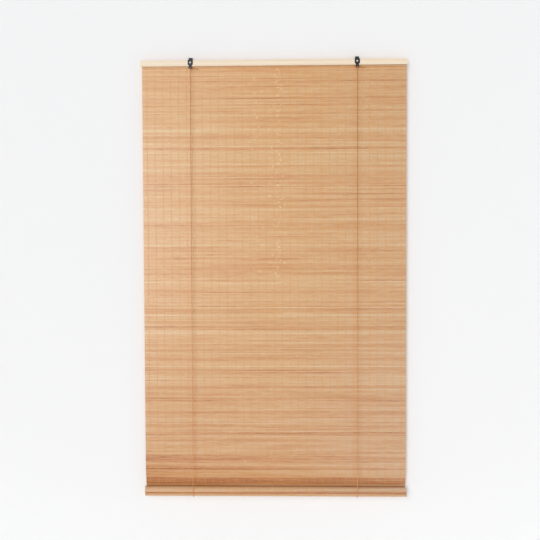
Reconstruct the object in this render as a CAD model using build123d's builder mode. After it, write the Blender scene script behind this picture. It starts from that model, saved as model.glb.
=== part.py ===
from build123d import *
from math import acos, atan2, cos, floor, hypot, pi, radians, sin, sqrt
import os

# Bamboo roll-up blind: a mat of bamboo splints hangs from a wooden headrail on two sheet
# steel hooks, and its lower end is wound up on a rod that rests in two cord slings.
# The origin is midway between the hooks, on the line through both hook bends. +X runs to
# the right along the headrail, -Y faces the room and +Z is up. Lengths are in millimetres.

# Headrail
headrail_length = 900.0
headrail_height = 20.0
headrail_thickness = 10.0
headrail_edge_chamfer = 0.8

# Hooks, bent from one strip of sheet: plate, strap over the headrail, riser, bend and lip
hook_end_inset = 168.0
hook_sheet = 1.2
hook_plate_width = 17.5
hook_neck_width = 13.0
hook_bend_inner_radius = 4.5
hook_seat_clearance = 0.3
hook_corner_radius = 0.4
hook_riser_radius = 1.0
hook_lip_drop = 3.5
hook_plate_straight = 14.0
hook_tongue_width = 10.0
hook_chamfer_height = 3.6
hook_leg_length = 12.0
hook_leg_spread = 12.0
hook_leg_width = 2.7
hook_leg_end_chamfer = 0.7
hook_notch_top_below_tongue = 3.2

# Screws that hold the hooks
screw_below_top = 8.0
screw_shank_radius = 1.6
screw_clearance = 0.1
screw_length = 8.0
screw_head_radius = 3.2
screw_head_height = 1.9

# Mat of splints: each splint is one ridge on both faces of the wall
mat_end_inset = 2.0
mat_thickness = 2.0
splint_pitch = 4.4
splint_valley_depth = 0.45
mat_top_inset = 2.5
drop = 1493.0
gap_height = 0.6
gap_end_margin = 18.0
splints_per_gap = 14
cut_overrun = 1.0

# Wound lower end of the mat on its rod, and the bend in which the mat leans back to it
rod_radius = 6.0
rod_clearance = 0.35
wound_turns = 4.25
turn_clearance = 0.3
wound_end_spread = 3.0
bend_radius = 250.0
lean_angle = 21.0
mat_part_gap = 0.3

# Tacks that hold the mat's inner end on the rod
tack_count = 6
tack_inset = 40.0
tack_shank_width = 1.2
tack_length = 5.0
tack_head_width = 3.0
tack_head_height = 0.5
tack_head_inset = 0.3
tack_from_end = 5.4

# Staples that hold the mat on the headrail's back
staple_spaces_between_hooks = 6
staple_edge_margin = 12.0
staple_width = 10.0
staple_wire = 0.7
staple_wire_width = 1.2
staple_bite = 5.0
staple_above_headrail_bottom = 5.0

# Cords: knotted behind the hook's fork, down the front, under the roll and up the back
cord_radius = 1.1
cord_clearance = 0.3
cord_turn_radius = 2.2
cord_knot_radius = 2.6
cord_knot_sides = 6
cord_knot_length = 5.2
cord_back_knot_below_top = 6.0
cord_staple_below_top = 11.0
cord_tail_reach = 26.0
cord_tail_droop = 5.0

# Places that follow from the sizes
headrail_top_z = -(hook_bend_inner_radius + hook_seat_clearance)
headrail_bottom_z = headrail_top_z - headrail_height
headrail_back_y = -hook_bend_inner_radius
headrail_front_y = headrail_back_y - headrail_thickness
headrail_middle_y = (headrail_back_y + headrail_front_y) / 2
headrail_middle_z = (headrail_top_z + headrail_bottom_z) / 2
plate_front_y = headrail_front_y - hook_sheet
screw_z = headrail_top_z - screw_below_top
hook_spacing = headrail_length - 2 * hook_end_inset
hook_sides = {"left": -hook_spacing / 2, "right": hook_spacing / 2}

mat_width = headrail_length - 2 * mat_end_inset
panel_front_y = headrail_back_y
panel_back_y = panel_front_y + mat_thickness
panel_top_z = headrail_top_z - mat_top_inset

# The wound mat is a spiral whose inner face grows by one turn of mat for each turn
spiral_growth = (mat_thickness + turn_clearance) / (2 * pi)
spiral_start_radius = rod_radius + rod_clearance
wound_angle = 2 * pi * wound_turns
spiral_end_radius = spiral_start_radius + spiral_growth * wound_angle
roll_outer_radius = spiral_end_radius + mat_thickness

# The mat meets the wound turns at their back, where it leans by the angle of the bend
lean = radians(lean_angle)
roll_bottom_radius = roll_outer_radius - spiral_growth * (pi / 2 + lean)
roll_y = panel_front_y + bend_radius * (1 - cos(lean)) - spiral_end_radius * cos(lean)
roll_z = headrail_top_z - drop + roll_bottom_radius
bend_top_z = roll_z + (spiral_end_radius + bend_radius) * sin(lean)
upright_length = panel_top_z - bend_top_z
panel_length = upright_length + bend_radius * lean - mat_part_gap

# A cord's section is the square of the same area as the round cord
cord_side = cord_radius * sqrt(pi)

# The hook's fork, where the cord passes between the two legs
tongue_z = headrail_top_z - hook_plate_straight - hook_chamfer_height
leg_end_z = tongue_z - hook_leg_length
notch_top_z = tongue_z - hook_notch_top_below_tongue
notch_half_width = hook_leg_spread / 2 - hook_leg_width
notch_depth = notch_top_z - leg_end_z
notch_slant = hypot(notch_half_width, notch_depth)
cord_pass_z = notch_top_z - (cord_radius + cord_clearance) * notch_slant / notch_half_width
cord_front_y = plate_front_y - cord_clearance - cord_radius
cord_knot_y = headrail_front_y + cord_clearance + cord_knot_radius
cord_back_y = panel_back_y + cord_clearance + cord_radius
cord_back_z = headrail_top_z - cord_back_knot_below_top
sling_radius = roll_outer_radius + cord_clearance + cord_radius

staple_pitch = hook_spacing / staple_spaces_between_hooks
staple_z = headrail_bottom_z + staple_above_headrail_bottom


def front_plane(x, y):
    """Upright plane that faces the room, with its own Y along +Z."""
    return Plane(origin=(x, y, 0), x_dir=(1, 0, 0), z_dir=(0, -1, 0))


def side_plane(x):
    """Upright plane across the blind, with its own X along +Y and its own Y along +Z."""
    return Plane.YZ.offset(x)


def outward_plane(x, y, z):
    """Plane through a screw's axis, with its own X pointing out to the room."""
    return Plane(origin=(x, y, z), x_dir=(0, -1, 0), z_dir=(1, 0, 0))


def make_headrail():
    """Planed lath with eased edges and a pilot hole for each hook's screw."""
    with BuildPart() as headrail:
        with BuildSketch(side_plane(-headrail_length / 2)) as section:
            with Locations((headrail_middle_y, headrail_middle_z)):
                Rectangle(headrail_thickness, headrail_height)
            chamfer(section.vertices(), headrail_edge_chamfer)
        extrude(amount=headrail_length)
        with BuildSketch(front_plane(0, headrail_front_y)):
            with Locations(*[(x, screw_z) for x in hook_sides.values()]):
                Circle(screw_shank_radius + screw_clearance)
        extrude(amount=-(screw_length + screw_clearance), mode=Mode.SUBTRACT)
    return headrail.part


def make_hook(x):
    """Plate with a forked tongue, and the strap that goes over the headrail into the hook."""
    plate_middle_y = headrail_front_y - hook_sheet / 2
    strap_z = headrail_top_z + hook_sheet / 2
    riser_y = headrail_back_y - hook_sheet / 2
    bend_radius = hook_bend_inner_radius + hook_sheet / 2
    plate_top_z = headrail_top_z - hook_corner_radius - hook_sheet
    with BuildPart() as hook:
        with BuildSketch(front_plane(x, headrail_front_y)) as plate:
            with BuildLine():
                Polyline(
                    (0, plate_top_z),
                    (hook_plate_width / 2, plate_top_z),
                    (hook_plate_width / 2, headrail_top_z - hook_plate_straight),
                    (hook_tongue_width / 2, tongue_z),
                    (hook_leg_spread / 2, leg_end_z),
                    (notch_half_width, leg_end_z),
                    (0, notch_top_z),
                )
                mirror(about=Plane.YZ)
            make_face()
            chamfer(plate.vertices().group_by(Axis.Z)[0], hook_leg_end_chamfer)
            with Locations((0, screw_z)):
                Circle(screw_shank_radius + screw_clearance, mode=Mode.SUBTRACT)
        extrude(amount=hook_sheet)
        with BuildSketch(side_plane(x)):
            with BuildLine():
                FilletPolyline(
                    (plate_middle_y, plate_top_z),
                    (plate_middle_y, strap_z),
                    (riser_y, strap_z),
                    radius=hook_corner_radius + hook_sheet / 2,
                )
            trace(line_width=hook_sheet)
        extrude(amount=hook_plate_width / 2, both=True)
        with BuildSketch(side_plane(x)):
            with BuildLine():
                FilletPolyline(
                    (headrail_middle_y, strap_z),
                    (riser_y, strap_z),
                    (riser_y, 0),
                    radius=hook_riser_radius + hook_sheet / 2,
                )
                ThreePointArc((riser_y, 0), (0, bend_radius), (bend_radius, 0))
                Line((bend_radius, 0), (bend_radius, -hook_lip_drop))
            trace(line_width=hook_sheet)
        extrude(amount=hook_neck_width / 2, both=True)
    return hook.part


def make_hook_screws():
    """Cheese head screws, driven through the plates into the headrail."""
    shank_end = hook_sheet + screw_length
    with BuildPart() as screws:
        for x in hook_sides.values():
            with BuildSketch(outward_plane(x, plate_front_y, screw_z)):
                with BuildLine():
                    Polyline(
                        (-shank_end, 0),
                        (-shank_end, screw_shank_radius),
                        (0, screw_shank_radius),
                        (0, screw_head_radius),
                        (screw_head_height, screw_head_radius),
                        (screw_head_height, 0),
                        close=True,
                    )
                make_face()
            revolve(axis=Axis((x, plate_front_y, screw_z), (0, -1, 0)))
    return screws.part


def panel_point(length, depth):
    """Point of the hanging mat, at a length below its top and a depth in from its front."""
    angle = max(length - upright_length, 0) / bend_radius
    radius = bend_radius - depth
    level = panel_top_z - min(length, upright_length)
    return (panel_front_y + bend_radius - radius * cos(angle), level - radius * sin(angle))


def panel_outline(splint_count):
    """Outline of the hanging mat from its side, one ridge a splint on both faces."""
    pitch = panel_length / splint_count
    back_valley_depth = mat_thickness - splint_valley_depth
    front_line = [panel_point(0, splint_valley_depth)]
    back_line = [panel_point(0, back_valley_depth)]
    for splint in range(splint_count):
        ridge = pitch * (splint + 1 / 2)
        valley = pitch * (splint + 1)
        front_line += [panel_point(ridge, 0), panel_point(valley, splint_valley_depth)]
        back_line += [panel_point(ridge, mat_thickness), panel_point(valley, back_valley_depth)]
    return [*front_line, *reversed(back_line)]


def make_mat_panel():
    """Hanging wall of splints with open slits between some of them, which leans back to the roll."""
    splint_count = round(panel_length / splint_pitch)
    pitch = panel_length / splint_count
    valleys = [panel_top_z - pitch * splint for splint in range(1, splint_count, splints_per_gap)]
    open_valleys = [z for z in valleys if bend_top_z < z < headrail_bottom_z - splint_pitch]
    with BuildPart() as panel:
        with BuildSketch(side_plane(-mat_width / 2)):
            with BuildLine():
                Polyline(*panel_outline(splint_count), close=True)
            make_face()
        extrude(amount=mat_width)
        with BuildSketch(front_plane(0, panel_front_y - cut_overrun)):
            with Locations(*[(0, z) for z in open_valleys]):
                Rectangle(mat_width - 2 * gap_end_margin, gap_height)
        extrude(amount=-(mat_thickness + 2 * cut_overrun), mode=Mode.SUBTRACT)
    return panel.part


def spiral_angle(arc_length):
    """Angle from the spiral's inner end at a length along the middle of the wound mat."""
    start = spiral_start_radius + mat_thickness / 2
    return (sqrt(start**2 + 2 * spiral_growth * arc_length) - start) / spiral_growth


def roll_turn(angle):
    """Direction from the rod to a point of the spiral, whose outer end meets the bend."""
    return angle - wound_angle + lean


def roll_point(angle, depth):
    """Point of the wound mat, at a depth in from its inner face's spiral."""
    radius = spiral_start_radius + spiral_growth * angle + depth
    turn = roll_turn(angle)
    return (roll_y + radius * cos(turn), roll_z + radius * sin(turn))


def make_mat_roll():
    """Wound turns of the mat, one straight splint after another along the spiral."""
    middle_radius = (spiral_start_radius + spiral_end_radius + mat_thickness) / 2
    wound_length = middle_radius * wound_angle
    splint_count = round(wound_length / splint_pitch)
    pitch = wound_length / splint_count
    valley_depth = mat_thickness - splint_valley_depth
    inner_line = [roll_point(0, 0)]
    outer_line = [roll_point(0, valley_depth)]
    for splint in range(splint_count):
        ridge_angle = spiral_angle(pitch * (splint + 1 / 2))
        valley_angle = spiral_angle(pitch * (splint + 1))
        inner_line.append(roll_point(valley_angle, 0))
        outer_line += [roll_point(ridge_angle, mat_thickness), roll_point(valley_angle, valley_depth)]
    with BuildPart() as roll:
        with BuildSketch(side_plane(-mat_width / 2 - wound_end_spread)):
            with BuildLine():
                Polyline(*inner_line, *reversed(outer_line), close=True)
            make_face()
        extrude(amount=mat_width + 2 * wound_end_spread)
    return roll.part


def make_core_rod():
    """Round wooden rod as long as the headrail, on which the mat's lower end is wound."""
    with BuildPart() as rod:
        with BuildSketch(side_plane(-headrail_length / 2)):
            with Locations((roll_y, roll_z)):
                Circle(rod_radius)
        extrude(amount=headrail_length)
    return rod.part


def make_core_tacks():
    """Row of tacks through the innermost turn into the rod, close to the mat's inner end."""
    tack_angle = spiral_angle(tack_from_end)
    head_depth = mat_thickness - splint_valley_depth - tack_head_inset
    head_y, head_z = roll_point(tack_angle, head_depth)
    turn = roll_turn(tack_angle)
    spacing = (mat_width - 2 * tack_inset) / (tack_count - 1)
    outward = (0, cos(turn), sin(turn))
    row = Plane(origin=(0, head_y, head_z), x_dir=(1, 0, 0), z_dir=outward)
    with BuildPart() as tacks:
        with BuildSketch(row):
            with GridLocations(spacing, 0, tack_count, 1):
                Rectangle(tack_head_width, tack_head_width)
        extrude(amount=-tack_head_height)
        with BuildSketch(row):
            with GridLocations(spacing, 0, tack_count, 1):
                Rectangle(tack_shank_width, tack_shank_width)
        extrude(amount=-tack_length)
    return tacks.part


def staple_outline(width, stand_off):
    """Flat wire bent to a U, with its crown clear of the mat's back by the stand-off."""
    crown_y = panel_back_y + stand_off
    leg_y = headrail_back_y - staple_bite
    half = width / 2
    return [
        (-half, leg_y),
        (-half, crown_y + staple_wire),
        (half, crown_y + staple_wire),
        (half, leg_y),
        (half - staple_wire, leg_y),
        (half - staple_wire, crown_y),
        (staple_wire - half, crown_y),
        (staple_wire - half, leg_y),
    ]


def make_staples(places, level, width, stand_off):
    """Group of staples across the headrail's back, all at one level."""
    with BuildPart() as staples:
        for x in places:
            with BuildSketch(Plane.XY.offset(level - staple_wire_width / 2)):
                with BuildLine():
                    Polyline(*[(x + u, v) for u, v in staple_outline(width, stand_off)], close=True)
                make_face()
            extrude(amount=staple_wire_width)
    return staples.part


def make_mat_staples():
    """Staples through the mat's top, spaced so that each hook stands between two of them."""
    reach = mat_width / 2 - staple_edge_margin - staple_pitch / 2
    places = [staple_pitch * (step + 1 / 2) for step in range(floor(reach / staple_pitch) + 1)]
    return make_staples([-x for x in reversed(places)] + places, staple_z, staple_width, 0)


def make_cord_staples():
    """One staple over the upper end of each back strand."""
    inner_width = 2 * (cord_radius + cord_clearance)
    stand_off = inner_width
    level = headrail_top_z - cord_staple_below_top
    return make_staples(hook_sides.values(), level, inner_width + 2 * staple_wire, stand_off)


def sling_point(angle):
    """Point on the middle of a sling, which goes round the roll."""
    return (roll_y + sling_radius * cos(angle), roll_z + sling_radius * sin(angle))


def sling_touch(y, z, turn):
    """Angle at which a straight strand from a point above touches the sling's circle."""
    reach = hypot(y - roll_y, z - roll_z)
    return atan2(z - roll_z, y - roll_y) + turn * acos(sling_radius / reach)


def make_cord_front(x):
    """Front strand, from its knot through the fork and straight down to the roll."""
    front_angle = sling_touch(cord_front_y, cord_pass_z, 1)
    with BuildPart() as cord:
        with BuildLine(side_plane(x)) as route:
            FilletPolyline(
                (cord_knot_y, cord_pass_z),
                (cord_front_y, cord_pass_z),
                sling_point(front_angle),
                radius=cord_turn_radius,
            )
        with BuildSketch(front_plane(x, cord_knot_y)):
            with Locations((0, cord_pass_z)):
                Rectangle(cord_side, cord_side)
        sweep(path=route.wires()[0])
    return cord.part


def make_cord_sling(x):
    """Arc of cord that carries the roll, from the front strand round to the back strand."""
    front_angle = sling_touch(cord_front_y, cord_pass_z, 1)
    back_angle = sling_touch(cord_back_y, cord_back_z, -1) + 2 * pi
    middle_angle = (front_angle + back_angle) / 2
    along = (0, -sin(back_angle), cos(back_angle))
    with BuildPart() as cord:
        with BuildLine(side_plane(x)) as route:
            ThreePointArc(sling_point(front_angle), sling_point(middle_angle), sling_point(back_angle))
        with BuildSketch(Plane(origin=(x, *sling_point(back_angle)), x_dir=(1, 0, 0), z_dir=along)):
            Rectangle(cord_side, cord_side)
        sweep(path=route.wires()[0])
    return cord.part


def make_cord_back(x):
    """Back strand, straight up behind the mat to the knot under the headrail's top."""
    foot_y, foot_z = sling_point(sling_touch(cord_back_y, cord_back_z, -1))
    rise = (0, cord_back_y - foot_y, cord_back_z - foot_z)
    knot_y = panel_back_y + cord_clearance + cord_knot_radius
    with BuildPart() as cord:
        with BuildSketch(Plane(origin=(x, foot_y, foot_z), x_dir=(1, 0, 0), z_dir=rise)):
            Rectangle(cord_side, cord_side)
        extrude(amount=hypot(*rise))
        with BuildSketch(Plane(origin=(x, knot_y, cord_back_z), z_dir=(0, 0, 1))):
            RegularPolygon(cord_knot_radius, cord_knot_sides)
        extrude(amount=cord_knot_length / 2, both=True)
    return cord.part


def make_cord_end(x):
    """Stopper knot behind the fork, with the cord's loose tail lying to the right."""
    with BuildPart() as end:
        with BuildSketch(Plane(origin=(x, cord_knot_y, cord_pass_z), z_dir=(0, 0, 1))):
            RegularPolygon(cord_knot_radius, cord_knot_sides)
        extrude(amount=cord_knot_length / 2, both=True)
        tail_way = (cord_tail_reach, 0, -cord_tail_droop)
        with BuildSketch(Plane(origin=(x, cord_knot_y, cord_pass_z), z_dir=tail_way)):
            Rectangle(cord_side, cord_side)
        extrude(amount=hypot(*tail_way))
    return end.part


def save(solid, name):
    """Label one sub-part and write its STEP file."""
    solid.label = name
    export_step(solid, f"parts/{name}.step")


os.makedirs("parts", exist_ok=True)
save(make_headrail(), "headrail")
save(make_mat_panel(), "mat_panel")
save(make_mat_roll(), "mat_roll")
save(make_core_rod(), "core_rod")
save(make_core_tacks(), "core_tacks")
save(make_mat_staples(), "mat_staples")
save(make_cord_staples(), "cord_staples")
save(make_hook_screws(), "hook_screws")
for side, hook_x in hook_sides.items():
    save(make_hook(hook_x), f"hook_{side}")
    save(make_cord_front(hook_x), f"cord_front_{side}")
    save(make_cord_sling(hook_x), f"cord_sling_{side}")
    save(make_cord_back(hook_x), f"cord_back_{side}")
    save(make_cord_end(hook_x), f"cord_end_{side}")
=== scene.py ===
import math

import bmesh
import bpy
import numpy as np
from mathutils import Matrix, Vector


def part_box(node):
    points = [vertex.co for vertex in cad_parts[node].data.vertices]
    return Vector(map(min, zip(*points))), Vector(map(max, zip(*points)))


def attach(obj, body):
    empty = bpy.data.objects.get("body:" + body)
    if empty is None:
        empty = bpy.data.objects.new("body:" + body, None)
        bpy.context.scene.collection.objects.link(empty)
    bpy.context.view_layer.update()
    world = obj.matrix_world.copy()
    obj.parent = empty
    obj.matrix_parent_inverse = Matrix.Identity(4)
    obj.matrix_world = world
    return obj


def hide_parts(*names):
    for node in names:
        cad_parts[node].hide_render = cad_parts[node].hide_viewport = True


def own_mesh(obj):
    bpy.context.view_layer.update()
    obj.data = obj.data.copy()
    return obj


# Looks of a bamboo roll-up blind: a mat of splints tied by warp threads, wound up at its lower
# end, on a wooden headrail with two hooks and two cords. Lengths are in metres.

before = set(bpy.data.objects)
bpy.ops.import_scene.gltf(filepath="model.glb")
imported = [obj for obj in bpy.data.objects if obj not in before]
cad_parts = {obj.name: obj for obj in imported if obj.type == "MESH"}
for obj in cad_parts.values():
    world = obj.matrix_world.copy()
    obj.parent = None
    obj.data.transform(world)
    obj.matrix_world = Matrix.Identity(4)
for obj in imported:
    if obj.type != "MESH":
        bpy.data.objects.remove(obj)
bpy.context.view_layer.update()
rng = np.random.default_rng(23)

# Splints
MAT_THICKNESS = 0.002
SPLINT_PITCH = 0.0044
SPLINT_RINGS = 17
SPLINT_THINNEST_SHARE = 0.86
SPLINT_TILT = math.radians(0.7)
SPLINT_LIFT = 0.00006
SPLINT_WAVE = 0.0002
SPLINT_END_SCATTER = 0.0004
SPLINT_GAPS = (0.00003, 0.0001)
SPLINTS_PER_SLIT = 14
SLIT_GAP = 0.00016
SPLINT_SMOOTH_ANGLE = math.radians(35)

# Outline of a splint's section, in shares of half its width and half its thickness
SPLINT_FACE = 0.88
SPLINT_SIDE = 0.65
SPLINT_SECTION = np.array([
    (SPLINT_FACE, 1), (1, SPLINT_SIDE), (1, -SPLINT_SIDE), (SPLINT_FACE, -1),
    (-SPLINT_FACE, -1), (-1, -SPLINT_SIDE), (-1, SPLINT_SIDE), (-SPLINT_FACE, 1),
])

# Slow waves along the splints and threads: how many add up, and their lengths
WAVE_COUNT = 3
SPLINT_WAVE_LENGTHS = (0.5, 1.6)
SPLINT_LIFT_LENGTHS = (0.4, 1.2)
TONE_DRIFT_LENGTHS = (0.25, 1.2)
THREAD_WANDER_LENGTHS = (0.15, 0.6)

# Nodes of the bamboo canes, which show as swollen specks on the splints
NODE_SPACING = 0.3
NODE_REACH = 0.005
NODE_SWELL_SHARE = 0.12
NODE_COLUMNS = (0.012, -0.065)
NODE_FIRST_COLUMN_SHARE = 0.7
NODE_COLUMN_REACH = 0.14
NODE_SCATTER_ABOVE = 0.013
NODE_SCATTER_BELOW = 0.06
NODE_PALENESS = (0.05, 0.7)
NODE_SIDE_SHARE = 0.4
NODE_SHARE_BELOW = 0.35

# Colour of single splints, from 0 for the palest to 1 for the darkest
TONE_MIDDLE = 0.5
TONE_SPREAD = 0.125
TONE_DRIFT = 0.08

# Bundles of splints from one cane, which are a little paler or darker than the next bundle
BUNDLE_SPREAD_SHARE = 0.22
BUNDLE_SIZES = (4, 30)

# Splints with a dark streak, at depths below the headrail
TONE_OF_DARK_STREAKS = 0.3
DARK_STREAK_LENGTHS = (1.6, 4.0)
DARK_STREAK_DEPTHS = (
    0.4, 0.45, 0.505, 0.615, 0.7, 0.815, 0.895, 0.94, 0.99, 1.045, 1.105, 1.16, 1.25,
)

# Heights between which the splints turn a little rosier
ROSY_FROM_Z = -1.3
ROSY_TO_Z = -0.8

# Places between which the splints take a cooler cast towards the right, painted to stand for
# cooler light on that side
COOL_CAST_FROM_X = 0.0
COOL_CAST_TO_X = 0.42

# Warp threads, in pairs before and behind the mat
THREAD_COUNT = 33
THREAD_PITCH = 0.027
THREAD_WIDTH = 0.0012
THREAD_DEPTH = 0.0004
THREAD_PROUD = 0.00008
THREAD_SUNK = 0.0001
THREAD_WANDER = 0.0005
THREAD_SMOOTH_ANGLE = math.radians(80)
THREAD_SECTION = np.array([(0.5, 0.5), (-0.5, 0.5), (-0.5, -0.5), (0.5, -0.5)])

# Lower end of the mat, which leans back over a bend and is wound up
BEND_RADIUS = 0.25
LEAN = math.radians(21)
MAT_PART_GAP = 0.0003
WOUND_END_SPREAD = 0.003
ROD_CLEARANCE = 0.00035
TURN_CLEARANCE = 0.0003
WOUND_TURNS = 4.25
WOUND_SEAM = math.radians(-176.5)
WOUND_SEAM_GAP = 0.0006
# Tone added to the splint at the seam, painted shade that deepens the dark line along the seam gap
WOUND_SEAM_PAINTED_SHADE = 0.65

# Painted shade in the crease above the roll: tones added to the lowest hanging splints, from the
# roll upwards, and their change along X, which makes it darker towards the left. The one negative
# tone is painted light that softens the shadow where the mat meets the roll.
CREASE_PAINTED_SHADE = (
    0.3, 0.3, -0.25, 0.05, 0.6, 0.68, 0.66, 0.56, 0.36, 0.24, 0.22, 0.16, 0.04, 0,
    0, 0.28, 0.34, 0.16, 0.1, 0.14, 0.08, 0.12, 0.1, 0.1, 0.08, 0.08, 0.06, 0.06,
)
CREASE_PAINTED_SHADE_SLOPE = -0.35

# Cords: the route is knot, fork, roll, sling and back knot
CORD_RADIUS = 0.0011
CORD_SIDES = 12
CORD_STRANDS = 3
CORD_STRAND_PITCH = 0.014
CORD_GROOVE_SHARE = 0.16
CORD_RING_SPACING = 0.0018
CORD_KNOT_RADIUS = 0.0026
CORD_KNOT_POINTS = 60
CORD_CLEARANCE = 0.0003
CORD_FORK_BELOW_RAIL = 0.004787
CORD_STRAIGHT_FROM_EDGE = 0.013
CORD_BACK_KNOT_BELOW_TOP = 0.006
CORD_TAIL = ((0, 0), (0.009, -0.0007), (0.018, -0.0024), (0.026, -0.005))
CORD_TIP_LENGTH = 0.003
# Heights between which the cord's painted shade, darker towards the top, gives way to its lighter
# lower part
CORD_LOWER_PART_Z = -1.0
CORD_SHADED_TOP_Z = -0.4
CORD_SMOOTH_ANGLE = math.radians(60)
ROUTE_RESOLUTION = 900

# Screw heads
SCREW_HEAD_RADIUS = 0.0032
SCREW_HEAD_HEIGHT = 0.0019
SCREW_SHANK_RADIUS = 0.0016
SCREW_DOME_SHARE = 0.45
SCREW_DOME_STEPS = 6
SCREW_SEGMENTS = 40
SCREW_SLOT_LENGTH = 0.0036
SCREW_SLOT_WIDTH = 0.0009
SCREW_SLOT_DEPTH = 0.0011
SCREW_SMOOTH_ANGLE = math.radians(35)
WELD_DISTANCE = 1e-6

# Bamboo finish: noises in cycles per metre, the height of the relief, and linear colours
FIBRE_REACH = 40
FIBRE_LAYERS = 900
BAMBOO_GRAIN = (9, 2600, 1)
BAMBOO_MOTTLE = (26, 260, 1)
BAMBOO_HUES = (2, 45, 1)
BAMBOO_GRAIN_TONE = 0.36
BAMBOO_MOTTLE_TONE = 0.31
BAMBOO_RELIEF = 0.00005
BAMBOO_ROUGHNESS = (0.26, 0.36)
BAMBOO_SPECULAR = 0.75
BAMBOO_TONES = (
    (0.0, (0.712, 0.5, 0.266)),
    (0.5, (0.643, 0.349, 0.138)),
    (0.85, (0.56, 0.226, 0.066)),
    (1.0, (0.4, 0.135, 0.04)),
)
BAMBOO_HONEY = (0.643, 0.375, 0.127, 1.0)
BAMBOO_HONEY_SHARE = 0.3
BAMBOO_ROSY = (0.98, 0.995, 1.14, 1.0)
# Cooler cast painted on the right side, standing for cooler light there
BAMBOO_COOL_CAST = (0.95, 0.985, 1.13, 1.0)
BAMBOO_NODE = (0.83, 0.63, 0.39, 1.0)

# Thread finish
THREAD_TWIST = (900, 900, 900)
THREAD_WEAR = (3, 3, 9)
THREAD_RELIEF = 0.00008
THREAD_ROUGHNESS = (0.82, 0.95)
THREAD_SHEEN = 0.2
THREAD_SHADES = (0.88, 1.08)
THREAD_DARK = (0.7, 0.285, 0.07, 1.0)
THREAD_PALE = (0.75, 0.345, 0.1, 1.0)

# Cord finish
CORD_FUZZ = (1400, 1400, 1400)
CORD_RELIEF = 0.0001
CORD_ROUGHNESS = (0.75, 0.92)
CORD_SHEEN = 0.1
CORD_SHADES = (0.88, 1.1)
# Cord colours over groove depth, darker in the grooves as painted shade; the upper part's colours
# are darker still, painted shade for the shadow lying along the cord there
CORD_SHADED_TOP = ((0.0, (0.6, 0.225, 0.055)), (1.0, (0.48, 0.16, 0.038)))
CORD_LOWER_PART = ((0.0, (0.79, 0.335, 0.11)), (1.0, (0.66, 0.25, 0.07)))
# Colour of the cord's dark tip
CORD_TIP_DARK = (0.05, 0.025, 0.015, 1.0)

# Wood finish
WOOD_RINGS = (1.3, 130, 150)
WOOD_FIBRES = (26, 1900, 1900)
WOOD_RELIEF = 0.00005
WOOD_ROUGHNESS = (0.5, 0.66)
WOOD_SHADES = (0.93, 1.04)
WOOD_TONES = ((0.3, (0.91, 0.79, 0.63)), (0.52, (0.85, 0.7, 0.52)), (0.72, (0.78, 0.61, 0.42)))

# Lacquer and zinc finishes
LACQUER_FLOW = (420, 420, 420)
LACQUER_DUST = (3200, 3200, 3200)
LACQUER_RELIEF = 0.00006
LACQUER_ROUGHNESS = (0.26, 0.42)
LACQUER_SPECULAR = 0.3
LACQUER_TONES = ((0.55, (0.012, 0.012, 0.013)), (0.8, (0.05, 0.05, 0.05)))
ZINC_SCRATCHES = (500, 2600, 2600)
ZINC_RELIEF = 0.00003
ZINC_ROUGHNESS = (0.22, 0.4)
ZINC_TONES = ((0.3, (0.4, 0.4, 0.41)), (0.7, (0.58, 0.58, 0.57)))

# Places read from the frame
rail_low, rail_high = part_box("headrail")
panel_low, panel_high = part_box("mat_panel")
rod_low, rod_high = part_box("core_rod")
screw_low, screw_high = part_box("hook_screws")
sides = {}
for side in ("left", "right"):
    hook_low, hook_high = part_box(f"hook_{side}")
    sides[side] = (hook_low.x + hook_high.x) / 2
    plate_front_y = hook_low.y
mat_width = panel_high.x - panel_low.x
mat_back_y = panel_low.y + MAT_THICKNESS
roll_axis = (rod_low + rod_high) / 2
rod_radius = (rod_high.z - rod_low.z) / 2
turn_growth = MAT_THICKNESS + TURN_CLEARANCE
spiral_start = rod_radius + ROD_CLEARANCE
spiral_end = spiral_start + turn_growth * WOUND_TURNS
roll_outer_radius = spiral_end + MAT_THICKNESS
bend_top_z = roll_axis.z + (spiral_end + BEND_RADIUS) * math.sin(LEAN)


# Meshes

def build_mesh(name, points, faces, smooth_angle):
    """Mesh with outward normals, smooth wherever faces meet at less than the angle."""
    mesh = bpy.data.meshes.new(name)
    mesh.from_pydata(points.reshape(-1, 3).tolist(), [], faces)
    work = bmesh.new()
    work.from_mesh(mesh)
    bmesh.ops.recalc_face_normals(work, faces=work.faces)
    work.to_mesh(mesh)
    work.free()
    mesh.shade_smooth()
    mesh.set_sharp_from_angle(angle=smooth_angle)
    return mesh


def tube_faces(tubes, rings, corners):
    """Faces of closed tubes whose points run tube by tube, ring by ring."""
    tube = np.arange(tubes)[:, None, None] * rings * corners
    ring = np.arange(rings - 1)[None, :, None] * corners
    here = np.arange(corners)[None, None, :]
    ahead = (here + 1) % corners
    start = tube + ring
    end = start + corners
    quads = np.stack([start + here, end + here, end + ahead, start + ahead], axis=-1)
    first = np.arange(tubes)[:, None] * rings * corners + np.arange(corners)
    last = (first + (rings - 1) * corners)[:, ::-1]
    return quads.reshape(-1, 4).tolist() + first.tolist() + last.tolist()


def store(mesh, name, values):
    """Keep one number or one vector for each point, for a material to read."""
    values = np.ascontiguousarray(values, dtype=np.float32)
    is_vector = values.ndim > 1 and values.shape[-1] == 3
    layer = mesh.attributes.new(name, "FLOAT_VECTOR" if is_vector else "FLOAT", "POINT")
    layer.data.foreach_set("vector" if is_vector else "value", values.ravel())


def add_piece(mesh, material, body, slot, *nodes):
    """Object that moves with a body, stands for some CAD nodes and takes the given material; the
    slot is not used.
    """
    piece = bpy.data.objects.new(mesh.name, mesh)
    bpy.context.scene.collection.objects.link(piece)
    mesh.materials.append(material)
    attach(piece, body)
    if nodes:
        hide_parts(*nodes)
    return piece


def shorten_with_lift(piece):
    """Give a hanging piece its own copy of its mesh."""
    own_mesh(piece)


# Materials

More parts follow.
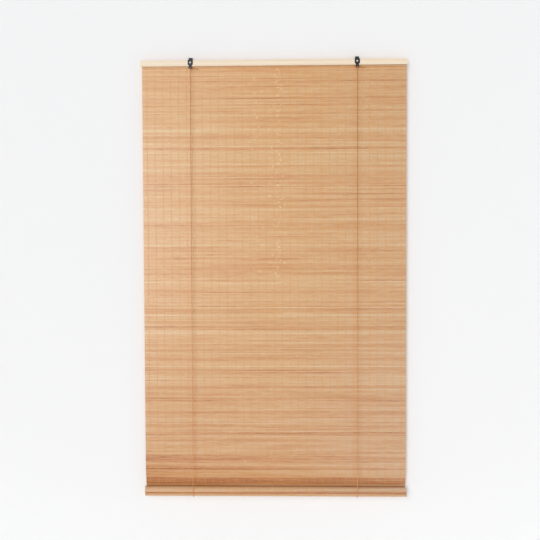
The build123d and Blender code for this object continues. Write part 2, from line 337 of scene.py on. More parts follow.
def new_material(name):
    """New material with its node tree and its shader."""
    material = bpy.data.materials.new(name)
    material.use_nodes = True
    tree = material.node_tree
    shader = tree.nodes["Principled BSDF"]
    return material, tree, shader


def add_node(tree, kind, inputs=None, **settings):
    """Node with its settings made and its inputs set to values or linked to sockets."""
    node = tree.nodes.new(kind)
    for key, value in settings.items():
        setattr(node, key, value)
    for key, value in (inputs or {}).items():
        if isinstance(value, bpy.types.NodeSocket):
            tree.links.new(value, node.inputs[key])
        else:
            node.inputs[key].default_value = value
    return node


def stored(tree, name, output):
    """Socket of a value that a mesh keeps for each point."""
    return add_node(tree, "ShaderNodeAttribute", attribute_name=name).outputs[output]


def noise(tree, vector, stretch, detail=3.0):
    """Noise over a vector that is first stretched, in cycles per metre."""
    scaled = add_node(tree, "ShaderNodeVectorMath", {0: vector, 1: stretch}, operation="MULTIPLY")
    inputs = {"Vector": scaled.outputs[0], "Scale": 1.0, "Detail": detail}
    return add_node(tree, "ShaderNodeTexNoise", inputs).outputs[0]


def place_along(tree, axis):
    """Place of a point on the object along an axis."""
    place = add_node(tree, "ShaderNodeTexCoord").outputs["Object"]
    return add_node(tree, "ShaderNodeSeparateXYZ", {0: place}).outputs[axis]


def ramp(tree, value, *stops):
    """Colours over a value, each stop given as a place and an RGB colour."""
    node = add_node(tree, "ShaderNodeValToRGB", {0: value})
    elements = node.color_ramp.elements
    while len(elements) < len(stops):
        elements.new(0.5)
    for element, (place, colour) in zip(elements, stops):
        element.position = place
        element.color = (*colour, 1.0)
    return node.outputs[0]


def span(tree, value, low, high, start=0.3, end=0.7):
    """Value taken from between start and end to between low and high."""
    inputs = {"Value": value, "From Min": start, "From Max": end, "To Min": low, "To Max": high}
    return add_node(tree, "ShaderNodeMapRange", inputs).outputs[0]


def larger(tree, first, second):
    """Larger one of two values."""
    return add_node(tree, "ShaderNodeMath", {0: first, 1: second}, operation="MAXIMUM").outputs[0]


def mix(tree, share, first, second, blend="MIX"):
    """Two colours mixed by a share, or blended in another way."""
    node = add_node(tree, "ShaderNodeMix", data_type="RGBA", blend_type=blend)
    for index, value in ((0, share), (6, first), (7, second)):
        if isinstance(value, bpy.types.NodeSocket):
            tree.links.new(value, node.inputs[index])
        else:
            node.inputs[index].default_value = value
    return node.outputs[2]


def shade(tree, colour, value, darkest, lightest):
    """Colour made darker and lighter by a noise."""
    level = span(tree, value, darkest, lightest)
    grey = add_node(tree, "ShaderNodeCombineColor", {0: level, 1: level, 2: level}).outputs[0]
    return mix(tree, 1.0, colour, grey, "MULTIPLY")


def bump(tree, shader, height, distance):
    """Fine relief on a surface, as high as the distance."""
    inputs = {"Height": height, "Distance": distance, "Strength": 1.0}
    node = add_node(tree, "ShaderNodeBump", inputs)
    tree.links.new(node.outputs[0], shader.inputs["Normal"])


def finish_shader(tree, shader, colour, roughness):
    """Connect a material's colour and roughness to its shader."""
    tree.links.new(colour, shader.inputs["Base Color"])
    tree.links.new(roughness, shader.inputs["Roughness"])


def make_bamboo():
    """Split bamboo: each splint has its own tone, long fibres and pale swollen nodes."""
    material, tree, shader = new_material("split_bamboo")
    fibre = stored(tree, "fibre", "Vector")
    tone = stored(tree, "tone", "Fac")
    knot = stored(tree, "knot", "Fac")
    grain = noise(tree, fibre, BAMBOO_GRAIN, 4.0)
    mottle = noise(tree, fibre, BAMBOO_MOTTLE, 3.0)
    for streaks, size in ((mottle, BAMBOO_MOTTLE_TONE), (grain, BAMBOO_GRAIN_TONE)):
        change = span(tree, streaks, -size / 2, size / 2)
        tone = add_node(tree, "ShaderNodeMath", {0: tone, 1: change}, operation="ADD").outputs[0]
    colour = ramp(tree, tone, *BAMBOO_TONES)
    hue = noise(tree, fibre, BAMBOO_HUES, 1.0)
    colour = mix(tree, span(tree, hue, 0.0, BAMBOO_HONEY_SHARE), colour, BAMBOO_HONEY)
    rosy = span(tree, place_along(tree, "Z"), 1.0, 0.0, ROSY_FROM_Z, ROSY_TO_Z)
    colour = mix(tree, rosy, colour, BAMBOO_ROSY, "MULTIPLY")
    # painted light: a cooler cast towards the right, standing for cooler light on that side
    cool_cast = span(tree, place_along(tree, "X"), 0.0, 1.0, COOL_CAST_FROM_X, COOL_CAST_TO_X)
    colour = mix(tree, cool_cast, colour, BAMBOO_COOL_CAST, "MULTIPLY")
    colour = mix(tree, knot, colour, BAMBOO_NODE)
    finish_shader(tree, shader, colour, span(tree, grain, *BAMBOO_ROUGHNESS))
    shader.inputs["Specular IOR Level"].default_value = BAMBOO_SPECULAR
    bump(tree, shader, grain, BAMBOO_RELIEF)
    return material


def make_thread():
    """Warp thread of spun cotton, a little more orange than the splints."""
    material, tree, shader = new_material("warp_thread")
    place = add_node(tree, "ShaderNodeTexCoord").outputs["Object"]
    twist = noise(tree, place, THREAD_TWIST, 2.0)
    wear = noise(tree, place, THREAD_WEAR, 2.0)
    colour = mix(tree, wear, THREAD_DARK, THREAD_PALE)
    colour = shade(tree, colour, twist, *THREAD_SHADES)
    finish_shader(tree, shader, colour, span(tree, twist, *THREAD_ROUGHNESS))
    shader.inputs["Sheen Weight"].default_value = THREAD_SHEEN
    bump(tree, shader, twist, THREAD_RELIEF)
    return material


def make_cord_material():
    """Laid cord with painted shade, darker in its grooves and towards its upper end, and with a
    dark tip.
    """
    material, tree, shader = new_material("laid_cord")
    place = add_node(tree, "ShaderNodeTexCoord").outputs["Object"]
    groove = stored(tree, "groove", "Fac")
    tip = stored(tree, "tip", "Fac")
    fuzz = noise(tree, place, CORD_FUZZ, 3.0)
    shaded_top = ramp(tree, groove, *CORD_SHADED_TOP)
    lower_part = ramp(tree, groove, *CORD_LOWER_PART)
    # painted shade: the cord is darker towards its upper end
    lower_share = span(tree, place_along(tree, "Z"), 0.0, 1.0, CORD_SHADED_TOP_Z, CORD_LOWER_PART_Z)
    colour = mix(tree, lower_share, shaded_top, lower_part)
    colour = shade(tree, colour, fuzz, *CORD_SHADES)
    colour = mix(tree, tip, colour, CORD_TIP_DARK)
    finish_shader(tree, shader, colour, span(tree, fuzz, *CORD_ROUGHNESS))
    shader.inputs["Sheen Weight"].default_value = CORD_SHEEN
    bump(tree, shader, fuzz, CORD_RELIEF)
    return material


def make_pale_wood():
    """Planed pale wood with soft growth rings along its length and fine fibres."""
    material, tree, shader = new_material("pale_wood")
    place = add_node(tree, "ShaderNodeTexCoord").outputs["Object"]
    rings = noise(tree, place, WOOD_RINGS, 3.0)
    fibres = noise(tree, place, WOOD_FIBRES, 3.0)
    colour = ramp(tree, rings, *WOOD_TONES)
    colour = shade(tree, colour, fibres, *WOOD_SHADES)
    finish_shader(tree, shader, colour, span(tree, fibres, *WOOD_ROUGHNESS))
    bump(tree, shader, fibres, WOOD_RELIEF)
    return material


def make_black_lacquer():
    """Black lacquer on pressed steel, with a slightly uneven gloss and dust in it."""
    material, tree, shader = new_material("black_lacquer")
    place = add_node(tree, "ShaderNodeTexCoord").outputs["Object"]
    flow = noise(tree, place, LACQUER_FLOW, 2.0)
    dust = noise(tree, place, LACQUER_DUST, 2.0)
    colour = ramp(tree, dust, *LACQUER_TONES)
    finish_shader(tree, shader, colour, span(tree, flow, *LACQUER_ROUGHNESS))
    shader.inputs["Specular IOR Level"].default_value = LACQUER_SPECULAR
    bump(tree, shader, flow, LACQUER_RELIEF)
    return material


def make_zinc():
    """Bright zinc plate, finely scratched."""
    material, tree, shader = new_material("bright_zinc")
    place = add_node(tree, "ShaderNodeTexCoord").outputs["Object"]
    scratches = noise(tree, place, ZINC_SCRATCHES, 3.0)
    colour = ramp(tree, scratches, *ZINC_TONES)
    finish_shader(tree, shader, colour, span(tree, scratches, *ZINC_ROUGHNESS))
    shader.inputs["Metallic"].default_value = 1.0
    bump(tree, shader, scratches, ZINC_RELIEF)
    return material


# Mat

def waves(places, size, lengths):
    """Slow irregular waves along each row of places, with lengths between two given ones."""
    total = np.zeros_like(places)
    for _ in range(WAVE_COUNT):
        length = rng.uniform(*lengths, (len(places), 1))
        phase = rng.uniform(0, 2 * math.pi, (len(places), 1))
        total += np.sin(2 * math.pi * places / length + phase)
    return total * size / math.sqrt(WAVE_COUNT / 2)


def joint_lines(x, count):
    """Shift of the line above each splint and of the line below it, which the next splint shares.

    The first and the last line are straight, because another part of the mat may start there.
    """
    sizes = np.full((count + 1, 1), SPLINT_WAVE / math.sqrt(WAVE_COUNT / 2))
    sizes[[0, -1]] = 0
    lengths = rng.uniform(*SPLINT_WAVE_LENGTHS, (count + 1, WAVE_COUNT))
    phases = rng.uniform(0, 2 * math.pi, (count + 1, WAVE_COUNT))
    shifts = []
    for rows in (slice(None, -1), slice(1, None)):
        turns = 2 * math.pi * x[:, :, None] / lengths[rows, None, :] + phases[rows, None, :]
        shifts.append(sizes[rows] * np.sin(turns).sum(axis=2))
    return shifts


def splint_mesh(name, centres, outwards, layout, end_spread=0.0):
    """Row of splints, each a bar along X with its own width, twist, tone and cane nodes.

    Centres and outwards are (y, z) pairs, one for each splint, and so are the layout's rows.
    """
    count = len(centres)
    half_length = mat_width / 2 - rng.uniform(0, SPLINT_END_SCATTER, (count, 1))
    even = np.linspace(-1, 1, SPLINT_RINGS)[None, :] * half_length
    steps = NODE_SPACING * np.array([-1, 0, 1])
    scatter = rng.normal(0, 1, (count, len(steps))) * layout["node_scatter"][:, None]
    nodes = layout["node_x"][:, None] + steps + scatter
    x = np.sort(np.hstack([even, nodes - NODE_REACH, nodes, nodes + NODE_REACH]), axis=1)
    x = np.clip(x, -half_length, half_length)
    rings = x.shape[1]
    nearness = np.clip(1 - np.abs(x[:, :, None] - nodes[:, None, :]) / NODE_REACH, 0, 1)
    paleness = rng.uniform(*NODE_PALENESS, nodes.shape) * (NODE_SIDE_SHARE, 1, NODE_SIDE_SHARE)
    knot = (nearness * (paleness * layout["node_share"][:, None])[:, None, :]).max(axis=2)

    line_above, line_below = joint_lines(x, count)
    above = line_above + (layout["pitch"] - layout["gaps"][:-1])[:, None] / 2
    below = line_below - (layout["pitch"] - layout["gaps"][1:])[:, None] / 2
    middle, half_width = (above + below) / 2, (above - below) / 2
    thickness = MAT_THICKNESS / 2 * rng.uniform(SPLINT_THINNEST_SHARE, 1, (count, 1))
    swollen = np.minimum(thickness * (1 + NODE_SWELL_SHARE * knot), MAT_THICKNESS / 2)
    deep = SPLINT_SECTION[:, 1] * swollen[:, :, None]
    fanned = 1 + deep * layout["curvature"][:, None, None]
    wide = SPLINT_SECTION[:, 0] * half_width[:, :, None] * fanned
    tilt = rng.normal(0, SPLINT_TILT, (count, 1, 1))
    across = middle[:, :, None] + wide * np.cos(tilt) - deep * np.sin(tilt)
    lift_off = waves(x, SPLINT_LIFT, SPLINT_LIFT_LENGTHS)[:, :, None]
    outward = wide * np.sin(tilt) + deep * np.cos(tilt) + lift_off

    out_y, out_z = outwards[:, 0, None, None], outwards[:, 1, None, None]
    points = np.empty((count, rings, len(SPLINT_SECTION), 3))
    points[..., 0] = (x + rng.uniform(-end_spread, end_spread, (count, 1)))[:, :, None]
    points[..., 1] = centres[:, 0, None, None] + out_z * across + out_y * outward
    points[..., 2] = centres[:, 1, None, None] - out_y * across + out_z * outward
    faces = tube_faces(count, rings, len(SPLINT_SECTION))
    mesh = build_mesh(name, points, faces, SPLINT_SMOOTH_ANGLE)

    fibre = np.empty_like(points)
    fibre[..., 0] = (x + rng.uniform(0, FIBRE_REACH, (count, 1)))[:, :, None]
    fibre[..., 1] = wide + deep
    fibre[..., 2] = rng.uniform(0, FIBRE_LAYERS, (count, 1, 1))
    streak_length = rng.uniform(*DARK_STREAK_LENGTHS, (count, 1))
    streak_phase = rng.uniform(0, 2 * math.pi, (count, 1))
    strength = (1 + np.sin(2 * math.pi * x / streak_length + streak_phase)) / 2
    streak = layout["streaks"][:, None] * strength
    slope = layout["tone_slopes"][:, None] * x
    drift = waves(x, TONE_DRIFT, TONE_DRIFT_LENGTHS)
    tone = np.clip(layout["tones"][:, None] + slope + drift + streak, 0, 1)
    shape = points.shape[:3]
    store(mesh, "fibre", fibre.reshape(-1, 3))
    store(mesh, "tone", np.broadcast_to(tone[:, :, None], shape).ravel())
    store(mesh, "knot", np.broadcast_to(knot[:, :, None], shape).ravel())
    return mesh


def thread_mesh(name, centres, outwards):
    """Warp threads side by side along X, all following one line of (y, z) centres."""
    rings, corners = len(centres), len(THREAD_SECTION)
    first = -THREAD_PITCH * (THREAD_COUNT - 1) / 2
    places = first + THREAD_PITCH * np.arange(THREAD_COUNT)
    along = np.tile(np.arange(rings) * SPLINT_PITCH / 2, (THREAD_COUNT, 1))
    x = places[:, None] + waves(along, THREAD_WANDER, THREAD_WANDER_LENGTHS)
    points = np.empty((THREAD_COUNT, rings, corners, 3))
    points[..., 0] = x[:, :, None] + THREAD_WIDTH * THREAD_SECTION[:, 0]
    depths = THREAD_DEPTH * THREAD_SECTION[:, 1, None] * outwards[:, None, :]
    points[..., 1:] = centres[:, None, :] + depths
    return build_mesh(name, points, tube_faces(THREAD_COUNT, rings, corners), THREAD_SMOOTH_ANGLE)


def thread_line(centres, outwards):
    """Line of a thread that goes over each splint and dips between it and the next one."""
    between = (centres[:-1] + centres[1:]) / 2
    out_between = outwards[:-1] + outwards[1:]
    out_between /= np.linalg.norm(out_between, axis=1, keepdims=True)
    line = np.empty((2 * len(centres) - 1, 2))
    out = np.empty_like(line)
    line[0::2] = centres + outwards * (MAT_THICKNESS / 2 + THREAD_PROUD)
    line[1::2] = between + out_between * (MAT_THICKNESS / 2 - THREAD_SUNK)
    out[0::2], out[1::2] = outwards, out_between
    return line, out


def plain_layout(count, pitch, curvature=0.0):
    """Sizes, tones and cane nodes of a row of splints, before what one part of the mat changes."""
    bundle_tones = rng.normal(0, BUNDLE_SPREAD_SHARE, count)
    bundles = np.repeat(bundle_tones, rng.integers(*BUNDLE_SIZES, count))[:count]
    return {
        "pitch": np.full(count, pitch),
        "gaps": rng.uniform(*SPLINT_GAPS, count + 1),
        "curvature": np.zeros(count) + curvature,
        "tones": TONE_MIDDLE + TONE_SPREAD * (rng.normal(0, 1, count) + bundles),
        "tone_slopes": np.zeros(count),
        "streaks": np.zeros(count),
        "node_x": rng.uniform(-NODE_COLUMN_REACH, NODE_COLUMN_REACH, count),
        "node_scatter": np.full(count, NODE_SCATTER_BELOW),
        "node_share": np.full(count, NODE_SHARE_BELOW),
    }


def hanging_line(lengths):
    """Middle of the hanging mat and its outward direction at lengths below its top."""
    upright = panel_high.z - bend_top_z
    angles = np.maximum(lengths - upright, 0) / BEND_RADIUS
    outwards = -np.column_stack([np.cos(angles), np.sin(angles)])
    middle_y = np.full(len(lengths), panel_low.y + BEND_RADIUS)
    middle = np.column_stack([middle_y, panel_high.z - np.minimum(lengths, upright)])
    return middle + outwards * (BEND_RADIUS - MAT_THICKNESS / 2), outwards


def make_hanging_mat(materials):
    """Hanging mat: the heading behind the headrail, the part that shortens and the bend."""
    bamboo, thread = materials
    length = panel_high.z - bend_top_z + BEND_RADIUS * LEAN - MAT_PART_GAP
    count = round(length / SPLINT_PITCH)
    pitch = length / count
    centres, outwards = hanging_line(pitch * (np.arange(count) + 0.5))
    levels = centres[:, 1]
    is_bent = outwards[:, 1] < 0
    layout = plain_layout(count, pitch, np.where(is_bent, 1 / BEND_RADIUS, 0.0))
    for depth in DARK_STREAK_DEPTHS:
        layout["streaks"][np.argmin(np.abs(levels - (rail_low.z - depth)))] = TONE_OF_DARK_STREAKS
    # painted shade in the crease above the roll, darker towards the left
    layout["tones"][-len(CREASE_PAINTED_SHADE):] += CREASE_PAINTED_SHADE[::-1]
    layout["tone_slopes"][-len(CREASE_PAINTED_SHADE):] = CREASE_PAINTED_SHADE_SLOPE
    bend = count - int(is_bent.sum())
    slits = np.arange(1, bend, SPLINTS_PER_SLIT)
    layout["gaps"][slits] = SLIT_GAP
    is_above = levels > (panel_high.z + panel_low.z) / 2
    column = np.where(rng.uniform(0, 1, count) < NODE_FIRST_COLUMN_SHARE, *NODE_COLUMNS)
    layout["node_x"] = np.where(is_above, column, layout["node_x"])
    layout["node_scatter"] = np.where(is_above, NODE_SCATTER_ABOVE, NODE_SCATTER_BELOW)
    layout["node_share"] = np.where(is_above, 1.0, NODE_SHARE_BELOW)
    first = int(np.argmax(levels < rail_low.z))
    parts = (
        ("mat_heading", slice(0, first), "headrail", ["mat_panel"]),
        ("mat_hanging", slice(first, bend), "headrail", ["mat_panel"]),
        ("mat_bend", slice(bend, count), "cord_slings", []),
    )
    for name, rows, body, nodes in parts:
        part = {key: values[rows] for key, values in layout.items()}
        part["gaps"] = layout["gaps"][rows.start:rows.stop + 1]
        mesh = splint_mesh(name, centres[rows], outwards[rows], part)
        pieces = [add_piece(mesh, bamboo, body, "bamboo", *nodes)]
        for face, turn in (("front", 1.0), ("back", -1.0)):
            line = thread_line(centres[rows], turn * outwards[rows])
            mesh = thread_mesh(f"{name}_threads_{face}", *line)
            pieces.append(add_piece(mesh, thread, body, "bamboo"))
        if name == "mat_hanging":
            for piece in pieces:
                shorten_with_lift(piece)


def make_wound_mat(materials):
    """Wound end of the mat, with its splints along the spiral and threads on the outer turn."""
    bamboo, thread = materials
    middle_radius = spiral_start + turn_growth * WOUND_TURNS / 2 + MAT_THICKNESS / 2
    wound_length = middle_radius * 2 * math.pi * WOUND_TURNS
    count = round(wound_length / SPLINT_PITCH)
    pitch = wound_length / count
    growth = turn_growth / (2 * math.pi)
    start = spiral_start + MAT_THICKNESS / 2
    lengths = pitch * (np.arange(count) + 0.5)
    angles = (np.sqrt(start**2 + 2 * growth * lengths) - start) / growth
    turns = angles - 2 * math.pi * WOUND_TURNS + LEAN
    outwards = np.column_stack([np.cos(turns), np.sin(turns)])
    radii = start + growth * angles
    centres = np.array([roll_axis.y, roll_axis.z]) + outwards * radii[:, None]
    layout = plain_layout(count, pitch, 1 / radii)
    seam = np.argmin(np.abs(turns - WOUND_SEAM))
    layout["gaps"][seam] = WOUND_SEAM_GAP
    # painted shade: the seam splint is darkened to deepen the line along the seam gap
    layout["tones"][seam] += WOUND_SEAM_PAINTED_SHADE
    mesh = splint_mesh("mat_wound", centres, outwards, layout, WOUND_END_SPREAD)
    add_piece(mesh, bamboo, "bottom_roll", "bamboo", "mat_roll")
    is_outer = turns > -2 * math.pi
    mesh = thread_mesh("mat_wound_threads", *thread_line(centres[is_outer], outwards[is_outer]))
    add_piece(mesh, thread, "bottom_roll", "bamboo")


# Cords

def route(points):
    """Points along the smooth line of a cord whose control points are given."""
    curve = bpy.data.curves.new("route", "CURVE")
    curve.dimensions = "3D"
    curve.resolution_u = ROUTE_RESOLUTION
    spline = curve.splines.new("NURBS")
    spline.points.add(len(points) - 1)
    for control, point in zip(spline.points, points):
        control.co = (*point, 1.0)
    spline.order_u = 3
    spline.use_endpoint_u = True
    holder = bpy.data.objects.new("route", curve)
    line = bpy.data.meshes.new_from_object(holder)
    path = [vertex.co.copy() for vertex in line.vertices]
    bpy.data.objects.remove(holder)
    bpy.data.curves.remove(curve)
    bpy.data.meshes.remove(line)
    kept = [path[0]]
    for point in path[1:-1]:
        if (point - kept[-1]).length >= CORD_RING_SPACING:
            kept.append(point)
    return kept + [path[-1]]


def rope_points(path, tip_length=0.0):
    """Rings of a laid cord along a path, with the groove depth and tip share of each point."""
    tangent = (path[1] - path[0]).normalized()
    normal = tangent.orthogonal().normalized()
    total = path_length(path)
    angles = [2 * math.pi * corner / CORD_SIDES for corner in range(CORD_SIDES)]
    points, grooves, tips, reached = [], [], [], 0.0
    for index, point in enumerate(path):
        before, after = path[max(index - 1, 0)], path[min(index + 1, len(path) - 1)]
        ahead = (after - before).normalized()
        normal = tangent.rotation_difference(ahead) @ normal
        tangent = ahead
        binormal = tangent.cross(normal)
        reached += (point - before).length
        twist = 2 * math.pi * reached / CORD_STRAND_PITCH
        tip = max(0.0, 1 - (total - reached) / tip_length) if tip_length else 0.0
        for angle in angles:
            groove = (1 - math.cos(CORD_STRANDS * (angle - twist))) / 2
            radius = CORD_RADIUS * (1 - CORD_GROOVE_SHARE * groove)
            points.append(point + radius * (math.cos(angle) * normal + math.sin(angle) * binormal))
            grooves.append(groove)
            tips.append(tip)
    return points, grooves, tips


def rope_mesh(name, *ropes):
    """Mesh of one or more stretches of laid cord."""
    points, grooves, tips, faces = [], [], [], []
    for rope in ropes:
        start = len(points)
        rings = len(rope[0]) // CORD_SIDES
        faces += [[start + corner for corner in face] for face in tube_faces(1, rings, CORD_SIDES)]
        points += rope[0]
        grooves += rope[1]
        tips += rope[2]
    mesh = build_mesh(name, np.array(points), faces, CORD_SMOOTH_ANGLE)
    store(mesh, "groove", np.array(grooves))
    store(mesh, "tip", np.array(tips))
    return mesh


def knot_path(centre):
    """Line of a stopper knot, a tight trefoil of cord that faces the room."""
    scale = (CORD_KNOT_RADIUS - CORD_RADIUS) / 3
    path = []
    for step in range(CORD_KNOT_POINTS + 1):
        turn = 2 * math.pi * step / CORD_KNOT_POINTS
        x = math.sin(turn) + 2 * math.sin(2 * turn)
        z = math.cos(turn) - 2 * math.cos(2 * turn)
        path.append(centre + scale * Vector((x, -math.sin(3 * turn), z)))
    return path


def path_length(path):
    """Length of a line of points."""
    return sum((b - a).length for a, b in zip(path, path[1:]))


def make_cord(side, x, material):
    """One cord: stopper knot and tail, front strand, sling under the roll and back strand."""
    fork_z = rail_low.z - CORD_FORK_BELOW_RAIL
    front_y = plate_front_y - CORD_CLEARANCE - CORD_RADIUS
    knot = Vector((x, rail_low.y + CORD_CLEARANCE + CORD_KNOT_RADIUS, fork_z))
    reach = roll_outer_radius + CORD_CLEARANCE + CORD_RADIUS
    sling_front_y, sling_back_y = roll_axis.y - reach, roll_axis.y + reach
    low_z = roll_axis.z - reach
    back_knot_z = rail_high.z - CORD_BACK_KNOT_BELOW_TOP
    back_knot = Vector((x, mat_back_y + CORD_CLEARANCE + CORD_KNOT_RADIUS, back_knot_z))

    fork = Vector((x, front_y, fork_z))
    landing = Vector((x, sling_front_y, roll_axis.z))
    down = (landing - fork).normalized() * CORD_STRAIGHT_FROM_EDGE
    front_path = route([knot, fork, fork + down, landing - down, landing])
    back_foot = Vector((x, sling_back_y, roll_axis.z))
    sling_path = route([landing, (x, sling_front_y, low_z), (x, sling_back_y, low_z), back_foot])
    back_top = Vector((x, mat_back_y + CORD_CLEARANCE + CORD_RADIUS, back_knot_z))
    rise = (back_top - back_foot).normalized() * CORD_STRAIGHT_FROM_EDGE
    back_path = route([back_foot, back_foot + rise, back_top - rise, back_top])
    tail_path = route([knot + Vector((u, 0, w)) for u, w in CORD_TAIL])

    end_mesh = rope_mesh(
        f"cord_knot_{side}", rope_points(knot_path(knot)), rope_points(tail_path, CORD_TIP_LENGTH)
    )
    end = add_piece(end_mesh, material, "headrail", "cord", f"cord_end_{side}")
    front = add_piece(
        rope_mesh(f"cord_strand_front_{side}", rope_points(front_path)),
        material, "headrail", "cord", f"cord_front_{side}",
    )
    sling = add_piece(
        rope_mesh(f"cord_loop_{side}", rope_points(sling_path)),
        material, "cord_slings", "cord", f"cord_sling_{side}",
    )
    back = add_piece(
        rope_mesh(f"cord_strand_back_{side}", rope_points(back_path)),
        material, "headrail", "cord", f"cord_back_{side}",
    )
    back_end = add_piece(
        rope_mesh(f"cord_back_knot_{side}", rope_points(knot_path(back_knot))),
        material, "headrail", "cord", f"cord_back_{side}",
    )
    shorten_with_lift(front)
    shorten_with_lift(back)


# Screws

def make_screws(material):
    """Domed screw heads with a cross recess, each on its shank."""
    level = (screw_low.z + screw_high.z) / 2
    meshes = [screw_mesh(Vector((x, plate_front_y, level))) for x in sides.values()]
    work = bmesh.new()
    for mesh in meshes:
        work.from_mesh(mesh)
    joined = bpy.data.meshes.new("hook_screw_heads")
    work.to_mesh(joined)
    work.free()
    joined.shade_smooth()
    joined.set_sharp_from_angle(angle=SCREW_SMOOTH_ANGLE)
    add_piece(joined, material, "headrail", "bright_steel", "hook_screws")


def screw_mesh(seat):
    """One screw turned from its profile, with the recess cut out of its head."""
    head_edge = SCREW_HEAD_HEIGHT * SCREW_DOME_SHARE
    tip_y = screw_high.y - seat.y
    profile = [(0.0, tip_y), (SCREW_SHANK_RADIUS, tip_y), (SCREW_SHANK_RADIUS, 0.0)]
    profile += [(SCREW_HEAD_RADIUS, 0.0), (SCREW_HEAD_RADIUS, -head_edge)]
    for step in range(1, SCREW_DOME_STEPS + 1):
        turn = math.pi / 2 * step / SCREW_DOME_STEPS
        rise = head_edge + (SCREW_HEAD_HEIGHT - head_edge) * math.sin(turn)
        profile.append((SCREW_HEAD_RADIUS * math.cos(turn), -rise))
    work = bmesh.new()
    line = [work.verts.new(seat + Vector((radius, y, 0))) for radius, y in profile]
    edges = [work.edges.new(pair) for pair in zip(line, line[1:])]
    bmesh.ops.spin(
        work, geom=line + edges, cent=seat, axis=(0, 1, 0), angle=2 * math.pi,
        steps=SCREW_SEGMENTS, use_merge=True,
    )
    bmesh.ops.remove_doubles(work, verts=work.verts, dist=WELD_DISTANCE)
    bmesh.ops.recalc_face_normals(work, faces=work.faces)
    return cut_recess(work, seat)


def cut_recess(work, seat):
    """Cut a cross recess into a screw head."""
    head = mesh_object("screw_blank", work)
    recess = bmesh.new()
    top = seat - Vector((0, SCREW_HEAD_HEIGHT, 0))
    sizes = (SCREW_SLOT_LENGTH, SCREW_SLOT_WIDTH)
    for length, width in (sizes, sizes[::-1]):
        size = Matrix.Diagonal((length, 2 * SCREW_SLOT_DEPTH, width, 1.0))
        bmesh.ops.create_cube(recess, size=1.0, matrix=Matrix.Translation(top) @ size)
    cutter = mesh_object("screw_cutter", recess)
    cut = head.modifiers.new("recess", "BOOLEAN")
    cut.operation, cut.solver, cut.object, cut.use_self = "DIFFERENCE", "EXACT", cutter, True
    bpy.context.view_layer.update()
    evaluated = head.evaluated_get(bpy.context.evaluated_depsgraph_get())
    mesh = bpy.data.meshes.new_from_object(evaluated)
    for piece in (head, cutter):
        bpy.data.objects.remove(piece)
    return mesh


def mesh_object(name, work):
    """Object in the scene from a bmesh, which is freed."""
    mesh = bpy.data.meshes.new(name)
    work.to_mesh(mesh)
    work.free()
    piece = bpy.data.objects.new(name, mesh)
    bpy.context.scene.collection.objects.link(piece)
    return piece


def dress_nodes(material, *names):
    """Give CAD nodes that stay in view their finish."""
    for name in names:
        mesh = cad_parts[name].data
        mesh.materials.clear()
        mesh.materials.append(material)


# Stage

FLOOR_Z = -1.75
WALL_Y = 0.0195
STAGE_HALF = 20.0
CAMERA_PLACE = Vector((0.0609, -2.8, -0.6126))
CAMERA_YAW = math.radians(-1.557)
CAMERA_PITCH = math.radians(-2.122)
CAMERA_ROLL = math.radians(-0.229)
CAMERA_LENS = 54.58
CAMERA_SENSOR = 36.0
FLOOR_COLOUR = (0.88, 0.88, 0.88, 1.0)
FLOOR_ROUGHNESS = 0.9
WALL_COLOUR = (0.9, 0.902, 0.906, 1.0)
WALL_ROUGHNESS = 1.0
WORLD_COLOUR = (0.98, 0.99, 1.0, 1.0)
WORLD_LIGHT = 0.38
WORLD_SEEN = 0.92

# Lamps before the blind: azimuth, elevation and spread in degrees, and strength
SUNS = {
    "key_light": (-22, 25, 34, 0.66),
    "side_light": (-18, 0, 18, 0.76),
    "fill_light": (12, -13, 28, 0.4),
}

# Lamp behind the blind, for views of its back
BACK_LIGHT_PLACE = (0.4, 3.0, -0.3)
BACK_LIGHT_TARGET = (0, 0, -0.8)
BACK_LIGHT_SIZE = 2.0
BACK_LIGHT_POWER = 40.0


def make_camera():
    """Camera at the photograph's place, turned a little left, down and round its own axis."""
    ahead = Vector((
        math.sin(CAMERA_YAW) * math.cos(CAMERA_PITCH),
        math.cos(CAMERA_YAW) * math.cos(CAMERA_PITCH),
        math.sin(CAMERA_PITCH),
    ))
    level = Vector((math.cos(CAMERA_YAW), -math.sin(CAMERA_YAW), 0))
    up = level.cross(ahead)
    right = math.cos(CAMERA_ROLL) * level + math.sin(CAMERA_ROLL) * up
    top = -math.sin(CAMERA_ROLL) * level + math.cos(CAMERA_ROLL) * up
    turn = Matrix((right, top, -ahead)).transposed().to_4x4()
    data = bpy.data.cameras.new("camera")
    data.lens = CAMERA_LENS
    data.sensor_width = CAMERA_SENSOR
    camera = bpy.data.objects.new("camera", data)
    camera.matrix_world = Matrix.Translation(CAMERA_PLACE) @ turn
    bpy.context.scene.collection.objects.link(camera)
    bpy.context.scene.camera = camera


def make_plane(name, corners, material):
    """Flat stage piece through four corners."""
    mesh = bpy.data.meshes.new(name)
    mesh.from_pydata(corners, [], [(0, 1, 2, 3)])
    mesh.materials.append(material)
    piece = bpy.data.objects.new(name, mesh)
    bpy.context.scene.collection.objects.link(piece)


def let_through(tree, shader, share):
    """Make a stage material clear to the share of rays that a socket gives."""
    clear = add_node(tree, "ShaderNodeBsdfTransparent")
    inputs = {0: share, 1: shader.outputs[0], 2: clear.outputs[0]}
    mixed = add_node(tree, "ShaderNodeMixShader", inputs)
    output = next(node for node in tree.nodes if node.type == "OUTPUT_MATERIAL")
    tree.links.new(mixed.outputs[0], output.inputs["Surface"])


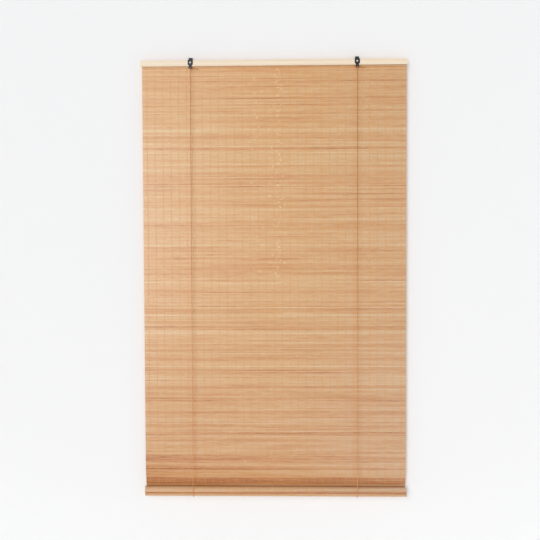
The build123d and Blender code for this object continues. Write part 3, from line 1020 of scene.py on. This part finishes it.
def make_stage():
    """Pale floor and a pale wall close behind the blind, which views from behind look through.

    Both let the lamps' light through, so that it stays even.
    """
    floor_material, tree, shader = new_material("pale_floor")
    shader.inputs["Base Color"].default_value = FLOOR_COLOUR
    shader.inputs["Roughness"].default_value = FLOOR_ROUGHNESS
    let_through(tree, shader, add_node(tree, "ShaderNodeLightPath").outputs["Is Shadow Ray"])

    wall_material, tree, shader = new_material("pale_wall")
    shader.inputs["Base Color"].default_value = WALL_COLOUR
    shader.inputs["Roughness"].default_value = WALL_ROUGHNESS
    shader.inputs["Specular IOR Level"].default_value = 0.0
    behind = add_node(tree, "ShaderNodeNewGeometry").outputs["Backfacing"]
    shadow_ray = add_node(tree, "ShaderNodeLightPath").outputs["Is Shadow Ray"]
    let_through(tree, shader, larger(tree, behind, shadow_ray))

    far = STAGE_HALF
    square = ((-far, -far), (far, -far), (far, far), (-far, far))
    floor_corners = [(x, y, FLOOR_Z) for x, y in square]
    wall_corners = [(x, WALL_Y, max(z, FLOOR_Z)) for x, z in square]
    make_plane("floor", floor_corners, floor_material)
    make_plane("wall", wall_corners, wall_material)


def make_sun(name, azimuth, elevation, spread, strength):
    """Even soft light from one direction, given by its azimuth to the right and its elevation."""
    data = bpy.data.lights.new(name, "SUN")
    data.angle = math.radians(spread)
    data.energy = strength
    lamp = bpy.data.objects.new(name, data)
    lamp.rotation_euler = (math.radians(90 - elevation), 0, math.radians(azimuth))
    bpy.context.scene.collection.objects.link(lamp)


def make_light(name, place, target, size, power):
    """Square soft light aimed at a point."""
    data = bpy.data.lights.new(name, "AREA")
    data.size = size
    data.energy = power
    lamp = bpy.data.objects.new(name, data)
    lamp.location = place
    lamp.rotation_euler = (Vector(target) - Vector(place)).to_track_quat("-Z", "Y").to_euler()
    bpy.context.scene.collection.objects.link(lamp)


def make_world():
    """Even pale surroundings, white where the camera or a reflection sees them."""
    world = bpy.data.worlds.new("surroundings")
    bpy.context.scene.world = world
    world.use_nodes = True
    tree = world.node_tree
    background = tree.nodes["Background"]
    path = add_node(tree, "ShaderNodeLightPath").outputs
    seen = larger(tree, path["Is Camera Ray"], path["Is Glossy Ray"])
    seen = larger(tree, seen, path["Is Transmission Ray"])
    level = span(tree, seen, WORLD_LIGHT, WORLD_SEEN, 0.0, 1.0)
    background.inputs["Color"].default_value = WORLD_COLOUR
    tree.links.new(level, background.inputs["Strength"])


make_camera()
bamboo = make_bamboo()
thread = make_thread()
cord_finish = make_cord_material()
pale_wood = make_pale_wood()
black_lacquer = make_black_lacquer()
zinc = make_zinc()
for side, hook_x in sides.items():
    make_cord(side, hook_x, cord_finish)
make_hanging_mat((bamboo, thread))
make_wound_mat((bamboo, thread))
make_screws(zinc)
dress_nodes(pale_wood, "headrail", "core_rod")
dress_nodes(black_lacquer, "hook_left", "hook_right")
dress_nodes(zinc, "core_tacks", "mat_staples", "cord_staples")
make_stage()
make_world()
for name, settings in SUNS.items():
    make_sun(name, *settings)
make_light("back_light", BACK_LIGHT_PLACE, BACK_LIGHT_TARGET, BACK_LIGHT_SIZE, BACK_LIGHT_POWER)

bpy.context.scene.view_settings.view_transform = "Standard"
